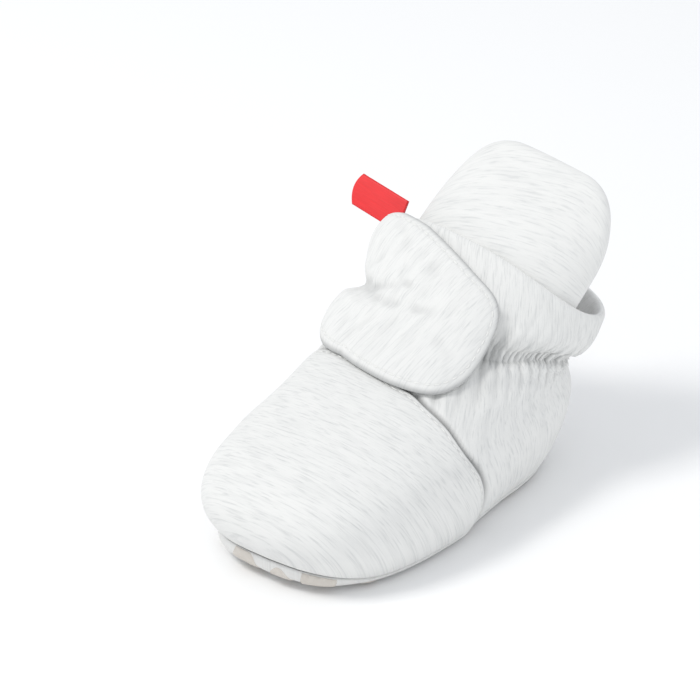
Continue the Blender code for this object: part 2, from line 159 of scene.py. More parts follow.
def add_node(material, kind, settings, links=()):
    """Add one shader node, set its sockets and properties, and link pairs of socket and output."""
    node = material.node_tree.nodes.new("ShaderNode" + kind)
    for name, value in settings.items():
        if isinstance(name, int) or name in node.inputs:
            node.inputs[name].default_value = value
        else:
            setattr(node, name, value)
    for name, output in links:
        material.node_tree.links.new(output, node.inputs[name])
    return node


def principled(name, settings):
    """A new material and its Principled shader, with sockets set by name."""
    material = bpy.data.materials.new(name)
    material.use_nodes = True
    shader = material.node_tree.nodes["Principled BSDF"]
    for socket, value in settings.items():
        shader.inputs[socket].default_value = value
    return material, shader


def weave_noise(material, weave_and_shade, grain, settings):
    """Noise over the weave attribute. grain is its size in mm along the attribute's three numbers."""
    place = add_node(material, "Mapping", {"Scale": tuple(1 / size for size in grain)},
                     [("Vector", weave_and_shade)])
    noise = add_node(material, "TexNoise", {"Scale": 1.0, **settings},
                     [("Vector", place.outputs["Vector"])])
    return noise.outputs["Fac"]


COLOUR_MIX = {"data_type": "RGBA", "clamp_factor": True}
Streak = namedtuple("Streak", "length width pale_below grey_above")
STREAKS = [Streak(5.5, 0.6, 0.46, 0.80), Streak(14.0, 2.4, 0.38, 0.80)]
LONG_STREAK_SHARE = 0.35
KNIT_LENGTH = 1.1
KNIT_WIDTH = 0.7
KNIT_RELIEF = 0.25
# Colour that painted shade in seams and pleats darkens the jersey towards
DEEP_SHADE = "#77797A"


def heather_jersey(name, ground, marl, roughness=0.92):
    """Cotton jersey knitted from a white and a grey yarn: a matt ground with short soft grey streaks.

    The streaks lie along the first number of the piece's weave attribute, which is in millimetres: short
    fine ones over fainter long ones. The knit is drawn as a faint bump. The third number of the
    attribute, 0 to 1, is painted shade that darkens the colour in the bottoms of seams and pleats.
    """
    material, shader = principled(name, {
        "Roughness": roughness, "IOR": 1.45, "Specular IOR Level": 0.2,
        "Sheen Weight": 0.15, "Sheen Roughness": 0.6,
    })
    weave_and_shade = add_node(material, "Attribute", {"attribute_name": "weave_and_shade"}).outputs["Vector"]
    layers = []
    for streak in STREAKS:
        noise = weave_noise(material, weave_and_shade, (streak.length, streak.width, np.inf),
                            {"Detail": 3.0, "Roughness": 0.55, "Distortion": 0.4})
        limits = {"From Min": streak.pale_below, "From Max": streak.grey_above}
        layer = add_node(material, "MapRange", {"interpolation_type": "SMOOTHSTEP", **limits},
                         [("Value", noise)])
        layers.append(layer.outputs["Result"])
    both = add_node(material, "Math", {"operation": "MULTIPLY_ADD", 1: LONG_STREAK_SHARE},
                    [(0, layers[1]), (2, layers[0])])
    tint = add_node(material, "Mix", {**COLOUR_MIX, 6: linear(ground), 7: linear(marl)},
                    [(0, both.outputs["Value"])])
    # Painted shade: the attribute's third number darkens the colour towards DEEP_SHADE
    parts = add_node(material, "SeparateXYZ", {}, [("Vector", weave_and_shade)])
    shaded = add_node(material, "Mix", {**COLOUR_MIX, 7: linear(DEEP_SHADE)},
                      [(0, parts.outputs["Z"]), (6, tint.outputs[2])])
    knit = weave_noise(material, weave_and_shade, (KNIT_LENGTH, KNIT_WIDTH, np.inf), {"Detail": 1.0})
    bump = add_node(material, "Bump", {"Strength": 0.22, "Distance": KNIT_RELIEF * MM},
                    [("Height", knit)])
    material.node_tree.links.new(shaded.outputs[2], shader.inputs["Base Color"])
    material.node_tree.links.new(bump.outputs["Normal"], shader.inputs["Normal"])
    return material


def add_piece(name, points, faces, materials, weave_and_shade, face_material=None):
    """Make a smooth mesh object from points in millimetres and ride it on the shoe."""
    mesh = bpy.data.meshes.new(name)
    mesh.from_pydata(np.asarray(points) * MM, [], faces)
    # The attribute holds the grain's places in mm, and on the vamp, quarter and strap painted shade as its
    # third number
    attribute = mesh.attributes.new("weave_and_shade", "FLOAT_VECTOR", "POINT")
    attribute.data.foreach_set("vector", np.asarray(weave_and_shade, np.float32).ravel())
    for material in materials:
        mesh.materials.append(material)
    if face_material is not None:
        mesh.polygons.foreach_set("material_index", np.asarray(face_material, np.int32))
    mesh.shade_smooth()
    mesh.update()
    piece = bpy.data.objects.new(name, mesh)
    bpy.context.scene.collection.objects.link(piece)
    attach(piece, "root")
    return piece


def grid_faces(index):
    """Quads between neighbours in a grid of point numbers."""
    corners = [index[:-1, :-1], index[:-1, 1:], index[1:, 1:], index[1:, :-1]]
    return np.stack(corners, axis=-1).reshape(-1, 4).tolist()


def ring_faces(index, pole, turned):
    """Quads between closed rings of point numbers, and a fan from the last ring to a pole."""
    index = np.concatenate([index, index[:, :1]], axis=1)
    fan = [[first, second, pole] for first, second in zip(index[-1, :-1].tolist(), index[-1, 1:].tolist())]
    faces = grid_faces(index) + fan
    return [face[::-1] for face in faces] if turned else faces


def pillow(outer, inner, turned=False):
    """Closed form of two sets of rings that share their edge ring and shrink to a pole each.

    outer and inner are arrays of rings by columns by 3. The last ring of each is averaged to its pole.
    """
    columns = outer.shape[1]
    points = [part for face in (outer, inner[1:]) for part in (face.reshape(-1, 3), face[-1].mean(0)[None])]
    over = np.arange(len(outer) * columns).reshape(-1, columns)
    under = over.size + 1 + np.arange((len(inner) - 1) * columns).reshape(-1, columns)
    inner_pole = over.size + 1 + under.size
    faces = ring_faces(over, over.size, turned)
    faces += ring_faces(np.concatenate([over[:1], under]), inner_pole, not turned)
    return np.concatenate(points), faces


def unit(vectors):
    """The same directions with a length of 1."""
    return vectors / np.linalg.norm(vectors, axis=-1, keepdims=True)


LUMP_WAVES = 7


def lumps(points, wavelength, seed):
    """Soft unevenness from -1 to 1: the mean of some plane waves in drawn directions."""
    draw = np.random.default_rng(seed)
    direction = unit(draw.normal(size=(LUMP_WAVES, 3)))
    phase = draw.uniform(0.0, 2 * np.pi, LUMP_WAVES)
    return np.sin(points @ direction.T * (2 * np.pi / wavelength) + phase).mean(-1)


SEAM_DROP = 0.1
SOLE_UNDERSIDE = 0.8
ROLL_FROM = 0.78
ROLL_POWER = 2.4
ROLL_SWELL = 0.05
ROLL_SWELL_REACH = 0.15
ROLL_SWELL_HEIGHT = 6.0
TOE_SPRING = 1.6
TOE_SPRING_FROM = -34.0
ARCH_RISE = 1.6
ARCH_AT = (-26.0, 12.0)
ARCH_REACH = (11.0, 20.0)
ARCH_CUT = 0.1
outline_ways = np.linspace(-1.0, 1.0, 721)
outline = settled(ring_curve(RINGS[0], outline_ways), outline_ways, 0 * outline_ways)
outline_angle = np.unwrap(np.arctan2(outline[:, 0], SOLE_CENTRE - outline[:, 1]))


def sole_skin(x, y):
    """Underside of the sole over a place in plan, and that place's share, 1 on the outline.

    It is flat, with an elliptic roll up to the seam, a parabolic toe spring and a bell-shaped arch. At
    the toe, where the seam stays high, the roll swells outwards past it.
    """
    angle = np.arctan2(x, SOLE_CENTRE - y)
    edge = along_line(angle, outline_angle, outline)
    share = np.hypot(x, y - SOLE_CENTRE) / np.hypot(edge[..., 0], edge[..., 1] - SOLE_CENTRE)
    roll = ramp(share, ROLL_FROM, 1 - ROLL_FROM)
    toeward = ramp(TOE_SPRING_FROM - y, 0.0, TOE_SPRING_FROM + SOLE_LENGTH / 2)
    arch = hump(x, ARCH_AT[0], ARCH_REACH[0]) * hump(y, ARCH_AT[1], ARCH_REACH[1])
    level = SOLE_UNDERSIDE + TOE_SPRING * toeward ** 2 + ARCH_RISE * ramp(arch, ARCH_CUT, 1.0)
    top = edge[..., 2] - SEAM_DROP
    level = np.minimum(level, top)
    z = mix(level, top, 1 - np.sqrt(1 - roll ** ROLL_POWER))
    bulge = np.sin(np.pi * ramp(1 - share, 0.0, ROLL_SWELL_REACH)) * ramp(top, 0.0, ROLL_SWELL_HEIGHT)
    swollen = 1 + ROLL_SWELL * bulge
    return joined(x * swollen, SOLE_CENTRE + (y - SOLE_CENTRE) * swollen, z), share


SOLE_COLUMNS = 300
SOLE_RINGS = 46
SOLE_CROWDING = 1.6
INNERMOST = 0.985
SOLE_TOP = 5.8
SOLE_DISH_POWER = 8
RIPPLE = 0.25
RIPPLE_LENGTH = 13.0
RIPPLE_FROM_EDGE = 0.05
way = np.linspace(-1.0, 1.0, SOLE_COLUMNS, endpoint=False)
edge = settled(ring_curve(RINGS[0], way), way, 0 * way)
centre = np.array([0.0, SOLE_CENTRE])
share = 1 - np.linspace(0.0, INNERMOST, SOLE_RINGS) ** SOLE_CROWDING
plan = mix(centre, edge[:, :2], share[:, None, None])
plan_x, plan_y = plan[..., 0], plan[..., 1]
ripple = RIPPLE * lumps(joined(plan_x, plan_y, 0.0), RIPPLE_LENGTH, seed=3)
under = sole_skin(plan_x, plan_y)[0]
under[..., 2] += ripple * ramp(1 - share, 0.0, RIPPLE_FROM_EDGE)[:, None]
over_height = mix(SOLE_TOP, edge[:, 2] - SEAM_DROP, share[:, None] ** SOLE_DISH_POWER)
over = joined(plan_x, plan_y, over_height)
over[0] = under[0]
points, faces = pillow(under, over[::3], turned=True)
# Its streaks run lengthways and are fainter than the upper's
sole_jersey = heather_jersey("sole cotton jersey", "#DBDBD9", "#CFCECC")
LENGTHWAYS = np.array([[0.0, 1.0, 0.0], [1.0, 0.0, 0.0], [0.0, 0.0, 0.0]])
sole = add_piece("sole_pad", points, faces, [sole_jersey], points @ LENGTHWAYS)
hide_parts("sole")

# Grip dots
# Round spots of beige silicone, printed on the sole's jersey in four sizes and cured. They stand a little
# proud with soft edges, run off at the sole's seam, and are what the shoe stands on.
Dot = namedtuple("Dot", "from_toe across diameter")
DOTS = [
    Dot(94.9, -20.2, 10.4), Dot(102.2, -12.0, 7.6), Dot(109.2, -1.4, 12.0), Dot(108.4, 10.9, 11.0),
    Dot(87.9, -15.4, 5.5), Dot(93.6, -4.7, 12.9), Dot(98.0, 7.0, 9.2), Dot(99.9, 16.6, 6.5),
    Dot(77.4, -21.6, 8.4), Dot(83.4, -7.1, 6.0), Dot(74.8, -12.4, 9.0), Dot(79.2, 0.0, 9.9),
    Dot(86.2, 10.7, 14.2), Dot(90.9, 21.8, 8.4), Dot(57.3, -25.6, 11.5), Dot(64.2, -16.9, 8.8),
    Dot(68.7, -4.3, 6.2), Dot(77.7, 20.5, 6.4), Dot(54.0, -10.1, 14.0), Dot(59.6, 2.4, 10.2),
    Dot(68.1, 11.8, 14.2), Dot(48.4, -20.0, 5.7), Dot(38.1, -24.7, 12.0), Dot(43.0, -10.5, 6.3),
    Dot(29.3, -26.8, 5.6), Dot(33.7, -14.4, 9.5), Dot(38.3, -1.5, 9.8), Dot(47.4, 7.9, 14.6),
    Dot(53.6, 20.0, 9.6), Dot(26.1, -19.6, 5.7), Dot(20.3, -24.3, 8.5), Dot(11.7, -20.1, 5.5),
    Dot(17.0, -10.4, 14.0), Dot(28.2, -0.4, 6.5), Dot(28.5, 13.1, 14.8), Dot(38.8, 17.6, 6.3),
    Dot(17.5, 4.9, 10.0), Dot(3.6, -7.2, 9.5), Dot(3.6, 4.4, 6.5), Dot(5.4, 14.6, 9.5),
    Dot(17.9, 19.7, 6.0),
]
DOT_SIDES = 30
DOT_RINGS = 9
DOT_INNERMOST = 0.97
DOT_CROWDING = 1.7
DOT_EDGE = 0.12
DOT_STEP = 0.05
DOT_TOE_LIMIT = 0.9998
DOT_SIDE_CUT = 0.045
DOT_SIDE_FROM = -45.0
DOT_SIDE_OVER = 10.0
DOT_SUNK = 0.35
DOT_ROLL = 0.22
DOT_FLAT = 0.84
DOT_FLAT_FADE = 0.06


def edge_round(distance, radius):
    """A quarter circle: 0 at an edge, 1 from one radius inwards."""
    return np.sqrt(1 - (1 - ramp(distance, 0.0, radius)) ** 2)


def repeated(shapes, sides, turned):
    """Points and faces of many like shapes: rings that shrink to a pole, with a cap on the first ring."""
    count, each = shapes.shape[:2]
    index = np.arange(each - 1).reshape(-1, sides)
    cap = index[0].tolist() if turned else index[0, ::-1].tolist()
    one = ring_faces(index, each - 1, turned) + [cap]
    faces = [[corner + number * each for corner in face] for number in range(count) for face in one]
    return shapes.reshape(-1, 3), faces


def grip_dots():
    """Rings round each dot's middle, pulled in at the seam, that stand off the sole by a quarter round."""
    table = np.array(DOTS)
    angle = np.linspace(0.0, 2 * np.pi, DOT_SIDES, endpoint=False)
    reach = 1 - np.linspace(0.0, DOT_INNERMOST, DOT_RINGS) ** DOT_CROWDING
    radius = table[:, 2, None, None] / 2 * reach[None, :, None]
    x = table[:, 1, None, None] + radius * np.cos(angle)
    y = table[:, 0, None, None] - SOLE_LENGTH / 2 + radius * np.sin(angle)
    limit = DOT_TOE_LIMIT - DOT_SIDE_CUT * ramp(y, DOT_SIDE_FROM, DOT_SIDE_OVER)
    inwards = np.minimum(1.0, limit / np.maximum(sole_skin(x, y)[1], 0.01))
    x = x * inwards
    y = SOLE_CENTRE + (y - SOLE_CENTRE) * inwards
    out = np.cross(sole_skin(x, y + DOT_STEP)[0] - sole_skin(x, y - DOT_STEP)[0],
                   sole_skin(x + DOT_STEP, y)[0] - sole_skin(x - DOT_STEP, y)[0])
    skin, share = sole_skin(x, y)
    relief = mix(DOT_ROLL, SOLE_UNDERSIDE, ramp(DOT_FLAT - share, 0.0, DOT_FLAT_FADE))
    proud = mix(-DOT_SUNK, relief, edge_round(1 - reach, DOT_EDGE)[None, :, None])
    skin = skin + proud[..., None] * unit(out)
    points = np.concatenate([skin.reshape(len(DOTS), -1, 3), skin[:, -1].mean(1)[:, None]], axis=1)
    return repeated(points, DOT_SIDES, True)


def grained(name, colour, shade, grain, relief, settings):
    """A surface whose colour wanders between two close tones, with the same grain as a low relief.

    grain is the size in mm of the pattern along the three numbers of the weave attribute, and relief its
    height in mm. Further sockets of the Principled shader are set by name.
    """
    material, shader = principled(name, settings)
    weave_and_shade = add_node(material, "Attribute", {"attribute_name": "weave_and_shade"}).outputs["Vector"]
    noise = weave_noise(material, weave_and_shade, grain, {"Detail": 2.0})
    tint = add_node(material, "Mix", {**COLOUR_MIX, 6: linear(colour), 7: linear(shade)}, [(0, noise)])
    bump = add_node(material, "Bump", {"Strength": 0.6, "Distance": relief * MM}, [("Height", noise)])
    material.node_tree.links.new(tint.outputs[2], shader.inputs["Base Color"])
    material.node_tree.links.new(bump.outputs["Normal"], shader.inputs["Normal"])
    return material


points, faces = grip_dots()
# Cured silicone is dull and faintly mottled, with the texture of the jersey under it
silicone = grained("printed silicone", "#D2CDC6", "#C4BEB6", (1.4, 1.4, 1.4), 0.06,
                   {"Roughness": 0.55, "IOR": 1.41})
dots = add_piece("grip_dots", points, faces, [silicone], points)

# Insole
# A thin footbed of plain cotton over wadding that lies loose on the sole inside the shoe.
INSOLE_SHARE = 0.885
INSOLE_THICK = 1.8
INSOLE_EDGE = 0.06
INSOLE_GAP = 0.3
INSOLE_DISH = 0.9
INSOLE_DISH_POWER = 4
plan = mix(centre, edge[:, :2], (INSOLE_SHARE * share)[:, None, None])
plan_x, plan_y = plan[..., 0], plan[..., 1]
dish = INSOLE_DISH * (INSOLE_SHARE * share[:, None]) ** INSOLE_DISH_POWER
bed = SOLE_TOP + INSOLE_GAP + dish
crown = edge_round(1 - share, INSOLE_EDGE)[:, None]
lower = joined(plan_x, plan_y, bed + INSOLE_THICK / 2 * (1 - crown))
upper = joined(plan_x, plan_y, bed + INSOLE_THICK / 2 * (1 + crown))
points, faces = pillow(upper, lower[::3])
# Plain lining cotton is whiter and duller than the jersey, with hardly any streaks
lining = heather_jersey("cotton lining", "#EFEFEE", "#E2E2E0", 0.95)
insole = add_piece("insole_pad", points, faces, [lining], points @ LENGTHWAYS)
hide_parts("insole")

# Vamp
# The toe piece: one cut of jersey over wadding from the sole seam up to the throat, lined. It is drawn in
# round the toe, and its back edge is seamed to the quarter in a deep pillowed groove.
def upper_points(way, row):
    """Points on the upper's outer face: the rings, joined along each way by a natural cubic."""
    way, row = np.broadcast_arrays(np.asarray(way, float), np.asarray(row, float))
    shape = way.shape
    way = (way.ravel() + 1) % 2 - 1
    row = row.ravel()
    knots = np.stack([ring_curve(ring, way) for ring in RINGS])
    count = len(RINGS)
    inner = np.arange(1, count - 1)
    matrix = np.eye(count)
    matrix[inner, inner - 1] = 1 / 6
    matrix[inner, inner] = 2 / 3
    matrix[inner, inner + 1] = 1 / 6
    turn = np.zeros_like(knots)
    turn[1:-1] = knots[2:] - 2 * knots[1:-1] + knots[:-2]
    turn = np.linalg.solve(matrix, turn.reshape(count, -1)).reshape(knots.shape)
    low = np.clip(np.floor(row).astype(int), 0, count - 2)
    pick = np.arange(len(row))
    b = (row - low)[:, None]
    a = 1 - b
    points = a * knots[low, pick] + b * knots[low + 1, pick]
    points += ((a ** 3 - a) * turn[low, pick] + (b ** 3 - b) * turn[low + 1, pick]) / 6
    return settled(points, way, row).reshape(shape + (3,))


def surface_normals(surface, first, second, step=0.01):
    """Directions across a surface of two parameters, from small steps along both."""
    along = surface(first + step, second) - surface(first - step, second)
    up = surface(first, second + step) - surface(first, second - step)
    return unit(np.cross(along, up))


POINTS_AT_ONCE = 4096


def distance_to(points, line):
    """Distance in mm from each point to the nearest sample of a line, and that sample's number."""
    flat = points.reshape(-1, 3)
    square = (line ** 2).sum(1)
    parts = [
        (part ** 2).sum(1)[:, None] + square - 2 * part @ line.T
        for part in np.array_split(flat, max(1, len(flat) // POINTS_AT_ONCE))
    ]
    near = np.sqrt(np.maximum(np.concatenate([part.min(1) for part in parts]), 0.0))
    which = np.concatenate([part.argmin(1) for part in parts])
    return near.reshape(points.shape[:-1]), which.reshape(points.shape[:-1])


def smooth_line(knots, count):
    """A Catmull-Rom curve through a table of points, sampled evenly by its number of knots."""
    knots = np.asarray(knots, float)
    padded = np.concatenate([[2 * knots[0] - knots[1]], knots, [2 * knots[-1] - knots[-2]]])
    place = np.linspace(0.0, len(knots) - 1.0, count)
    low = np.clip(place.astype(int), 0, len(knots) - 2)
    t = (place - low)[:, None]
    p0, p1, p2, p3 = (padded[low + number] for number in range(4))
    return 0.5 * (2 * p1 + (p2 - p0) * t + (2 * p0 - 5 * p1 + 4 * p2 - p3) * t ** 2
                  + (3 * p1 - p0 - 3 * p2 + p3) * t ** 3)


def even_line(line, surface, count):
    """The same line in the surface's parameters, sampled at equal lengths along the surface."""
    travelled = travel(surface(*line.T))
    return along_line(np.linspace(0.0, travelled[-1], count), travelled, line)


PANEL_CROWDING = 1.5
EDGE_SAMPLES = 4


def panel(edge, centre, rings, surface, step=0.01):
    """Rings of places on a surface that shrink from an edge line to a centre and crowd towards the edge.

    Gives the two parameters, the points, the directions across and each point's distance to the edge.
    """
    share = 1 - np.linspace(0.0, INNERMOST, rings) ** PANEL_CROWDING
    plan = mix(centre, edge[::EDGE_SAMPLES], share[:, None, None])
    first, second = plan[..., 0], plan[..., 1]
    skin = surface(first, second)
    to_edge = distance_to(skin, surface(*edge.T))[0]
    return first, second, skin, surface_normals(surface, first, second, step), to_edge


def fullness(distance, reach):
    """Padding grows from 0 at an edge towards 1, by an exponential over one reach."""
    return 1 - np.exp(-distance / reach)


Padding = namedtuple("Padding", "crown crown_reach lump lump_length lump_reach seed")


def padded_height(points, to_edge, padding):
    """A crown and soft lumps in mm, both nothing at the edge and full within their reaches."""
    crown = padding.crown * fullness(to_edge, padding.crown_reach)
    uneven = padding.lump * lumps(points, padding.lump_length, padding.seed)
    return crown + uneven * fullness(to_edge, padding.lump_reach)


Crease = namedtuple("Crease", "line width depth ridge", defaults=[0.45])
CREASE_SAMPLES = 40
CREASE_FADE = 0.7
RIDGE_AT = 1.9


def creases(points, table, surface):
    """Soft troughs with a low ridge along each side. Each fades to nothing at its two ends."""
    height = np.zeros(points.shape[:-1])
    for crease in table:
        line = smooth_line(crease.line, CREASE_SAMPLES)
        distance, which = distance_to(points, surface(*line.T))
        fade = np.sin(np.pi * (which + 0.5) / CREASE_SAMPLES) ** CREASE_FADE
        across = distance / crease.width
        height += crease.depth * fade * (crease.ridge * hump(across, RIDGE_AT, 1.0) - hump(across, 0.0, 1.0))
    return height


# The seam between vamp and quarter as ways and rows of the upper, from the inner to the outer side
VAMP_SEAM = [
    (-0.540, 0.00), (-0.530, 1.25), (-0.480, 2.60), (-0.360, 4.40), (-0.220, 5.65), (-0.080, 5.95),
    (+0.090, 5.75), (+0.175, 5.45), (+0.305, 4.40), (+0.445, 2.60), (+0.505, 1.25), (+0.520, 0.00),
]
WALL = 2.5
VAMP_COLUMNS = 360
VAMP_RINGS = 64
VAMP_CENTRE = np.array([0.0, 2.9])
VAMP_EDGE = 1.2
VAMP_SEAM_EDGE = 0.8
VAMP_EDGE_FADE = 8.0
VAMP_SEAM_DEPTH = 0.9
VAMP_SEAM_FADE = 2.5
VAMP_PADDING = Padding(0.5, 6.0, 0.22, 26.0, 5.0, 11)
STITCH_GROOVE = 0.22
STITCH_GROOVE_WIDTH = 0.35
VAMP_STITCH_INSET = 1.6
VAMP_HALF_GIRTH = 118.0
VAMP_SLOPE = 0.6
VAMP_CREASES = [
    Crease([(-0.10, 5.4), (-0.02, 4.9), (0.05, 4.6)], 2.2, 0.22),
    Crease([(0.10, 5.3), (0.15, 4.7), (0.17, 4.1)], 2.4, 0.20),
    Crease([(-0.42, 2.0), (-0.30, 2.5), (-0.20, 2.6)], 2.6, 0.22),
    Crease([(0.46, 1.6), (0.36, 2.2), (0.26, 2.5)], 2.6, 0.22),
    Crease([(-0.12, 0.9), (0.0, 1.3), (0.12, 1.0)], 2.4, 0.16),
    Crease([(0.20, 0.5), (0.21, 1.3), (0.20, 2.1)], 2.0, 0.18),
    Crease([(-0.24, 0.4), (-0.23, 1.2), (-0.20, 1.9)], 2.0, 0.18),
]
seam = even_line(smooth_line(VAMP_SEAM, 400), upper_points, 241)
toe_edge = joined(np.linspace(VAMP_SEAM[-1][0], VAMP_SEAM[0][0], 241), 0.0)
vamp_edge = np.concatenate([seam, toe_edge[1:]])
vamp_edge = even_line(vamp_edge, upper_points, EDGE_SAMPLES * VAMP_COLUMNS + 1)[:-1]
ways, rows, skin, normal, to_edge = panel(vamp_edge, VAMP_CENTRE, VAMP_RINGS, upper_points)
seam_line = upper_points(*seam.T)
to_seam = distance_to(skin, seam_line)[0]
radius = mix(VAMP_SEAM_EDGE, VAMP_EDGE, ramp(to_seam, 0.0, VAMP_EDGE_FADE))
round_off = edge_round(to_edge, radius)
depth = mix(VAMP_SEAM_DEPTH, WALL / 2, ramp(to_seam, 0.0, VAMP_SEAM_FADE))
swell = padded_height(skin, to_edge, VAMP_PADDING) + creases(skin, VAMP_CREASES, upper_points)
swell -= STITCH_GROOVE * hump(to_seam, VAMP_STITCH_INSET, STITCH_GROOVE_WIDTH)
middle = skin - depth[..., None] * normal
outer = middle + ((depth + swell) * round_off)[..., None] * normal
inner = middle - ((WALL - depth) * round_off)[..., None] * normal
points, faces = pillow(outer, inner[::4], turned=True)
# Painted shade in the seam, in the groove of the stitches and along the toe's edge
painted_shade = 0.8 * hump(to_seam, 0.0, 0.55) + 0.25 * hump(to_seam, VAMP_STITCH_INSET, 0.3)
painted_shade += 0.2 * hump(to_edge, 0.0, 0.6)
flat = joined(ways * VAMP_HALF_GIRTH, skin[..., 1] + VAMP_SLOPE * skin[..., 2], painted_shade)
weave_and_shade = pillow(flat, flat[::4])[0]
# The upper's jersey is a warm white with clear grey streaks
white_jersey = heather_jersey("heather white jersey", "#E2E2E0", "#CBCCCB")
lined = (np.arange(len(faces)) >= VAMP_RINGS * VAMP_COLUMNS).astype(int)
vamp = add_piece("vamp", points, faces, [white_jersey, lining], weave_and_shade, lined)

# Vamp stitches
# A row of white cotton thread that is sewn through vamp and seam allowance beside the seam. Each stitch
# lies half sunk in the groove that it pulls into the padding.
STITCH_SPACING = 2.7
STITCH_LENGTH = 2.0
STITCH_THICK = 0.42
STITCH_SIDES = 8
STITCH_TURNS = np.radians([-70.0, -35.0, 0.0, 35.0, 70.0])
STITCH_STEP = 0.4
VAMP_SEWN_ABOVE = 0.3


def inset_line(distance, inset, fields):
    """Fields of a panel along the line one inset inside its edge, in proportion between two rings."""
    ring = (distance > inset).argmax(0)
    column = np.arange(distance.shape[1])
    near = distance[ring - 1, column]
    part = ((inset - near) / (distance[ring, column] - near))[:, None]
    return [mix(field[ring - 1, column], field[ring, column], part) for field in fields]


def stitches(name, line, out, material):
    """A run of threads along a line on a surface: each an ellipsoid whose long axis follows the line."""
    travelled = travel(line)
    count = int(travelled[-1] / STITCH_SPACING)
    place = (np.arange(count) + 0.5) * travelled[-1] / count
    middle = along_line(place, travelled, line)
    before, after = (along_line(place + step, travelled, line) for step in (-STITCH_STEP, STITCH_STEP))
    along = unit(after - before)
    side = unit(np.cross(along_line(place, travelled, out), along))
    above = np.cross(along, side)
    angle = np.linspace(0.0, 2 * np.pi, STITCH_SIDES, endpoint=False)[:, None]
    across = np.cos(angle) * side[:, None] + np.sin(angle) * above[:, None]
    half_long = STITCH_LENGTH / 2 * along
    rings = (middle[:, None, None] + np.sin(STITCH_TURNS)[:, None, None] * half_long[:, None, None]
             + STITCH_THICK / 2 * np.cos(STITCH_TURNS)[:, None, None] * across[:, None])
    points = np.concatenate([rings.reshape(count, -1, 3), (middle + half_long)[:, None]], axis=1)
    points, faces = repeated(points, STITCH_SIDES, False)
    return add_piece(name, points, faces, [material], points)


# Cotton thread is matt, a little brighter than the jersey. Its twist is drawn as a fine mottle
thread = grained("white cotton thread", "#EEEEEB", "#DCDCD9", (0.5, 0.5, 0.5), 0.05,
                 {"Roughness": 0.8, "Sheen Weight": 0.2})
stitch_line, stitch_out = inset_line(to_edge, VAMP_STITCH_INSET, [outer, normal])
sewn = vamp_edge[::EDGE_SAMPLES, 1] > VAMP_SEWN_ABOVE
vamp_thread = stitches("vamp_stitches", stitch_line[sewn], stitch_out[sewn], thread)

# Quarter
# The heel and sides, cut in one with the collar, lined and lightly padded. An elastic sewn round the
# ankle gathers it in, and the collar above flares out. Its two front edges leave a throat slit.
QUARTER_COLUMNS = 560
QUARTER_EDGE = 2.2
QUARTER_PADDING = Padding(0.35, 5.0, 0.25, 24.0, 5.0, 23)
# Pairs of points on the quarter's lower edge and on its rim. way runs on past 1 round the heel.
Rib = namedtuple("Rib", "way row rim_way")
RIBS = [
    Rib(-0.3125, 5.00, -0.300), Rib(-0.080, 5.95, -0.080), Rib(0.090, 5.75, 0.085), Rib(0.175, 5.45, 0.175),
    Rib(0.305, 4.40, 0.290), Rib(0.445, 2.60, 0.405), Rib(0.505, 1.25, 0.470), Rib(0.520, 0.00, 0.520),
    Rib(0.640, 0.00, 0.650), Rib(1.000, 0.00, 1.000), Rib(1.340, 0.00, 1.340), Rib(1.460, 0.00, 1.475),
    Rib(1.470, 1.25, 1.520), Rib(1.520, 2.60, 1.565), Rib(1.6875, 5.00, 1.675),
]
ribs = np.array(RIBS)
UNDER_VAMP = 0.972
SLIT_WAY = -0.3125
MM_OF_WAY_AND_ROW = np.array([120.0, 6.0])
RIM_SMOOTHING = 41
ELASTIC_FROM = 6.9
ELASTIC_TO = 9.0
SLIT_EDGE = 0.06
tucked = mix(VAMP_CENTRE, seam, UNDER_VAMP)
tucked[:, 1] = np.maximum(tucked[:, 1], 0.0)
front_seam = tucked[(tucked[:, 0] > SLIT_WAY) & (tucked[:, 1] > 0.0)]
heel_edge = joined(np.linspace(front_seam[-1, 0], 2 + tucked[0, 0], 160), 0.0)
back_seam = tucked[(tucked[:, 0] < SLIT_WAY) & (tucked[:, 1] > 0.0)] + np.array([2.0, 0.0])
lower_edge = even_line(np.concatenate([front_seam, heel_edge, back_seam]), upper_points, QUARTER_COLUMNS)


def rough_length(line):
    """Length in mm along ways and rows, counted apart as in a city of blocks."""
    return np.concatenate([[0.0], np.cumsum(np.abs(np.diff(line, axis=0)) @ MM_OF_WAY_AND_ROW)])


rib_place = rough_length(ribs[:, :2])
edge_place = rough_length(lower_edge)
rim_way = np.interp(edge_place * rib_place[-1] / edge_place[-1], rib_place, ribs[:, 2])
kernel = np.hanning(RIM_SMOOTHING) / np.hanning(RIM_SMOOTHING).sum()
rim_way = np.convolve(np.pad(rim_way, RIM_SMOOTHING // 2, "reflect", reflect_type="odd"), kernel, "valid")
lower_part = np.linspace(0.0, 1.0, 48)[:-1, None] ** 1.35
elastic_part = np.linspace(0.0, 1.0, 41)[:-1, None]
collar_part = 1 - (1 - np.linspace(0.0, 1.0, 30)[:, None]) ** 1.3
bottom = lower_edge[:, 1][None, :]
rows = np.concatenate([
    mix(bottom, ELASTIC_FROM, lower_part),
    mix(ELASTIC_FROM, ELASTIC_TO, elastic_part) + 0 * bottom,
    mix(ELASTIC_TO, RIM, collar_part) + 0 * bottom,
])
upwards = (rows - bottom) / (RIM - bottom)
ways = mix(lower_edge[:, 0], rim_way, upwards)
skin = upper_points(ways, rows)
normal = surface_normals(upper_points, ways, rows)
grid = joined(ways, rows)
border = np.concatenate([grid[0], grid[1:, -1], grid[-1, -2::-1], grid[-2::-1, 0]])
border = even_line(border, upper_points, 2400)
to_edge = distance_to(skin, upper_points(*border.T))[0]
to_seam = distance_to(skin, seam_line)[0]
round_off = edge_round(to_edge, QUARTER_EDGE)
round_off[[0, -1], :] = 0.0
round_off[1:-1, [0, -1]] = SLIT_EDGE
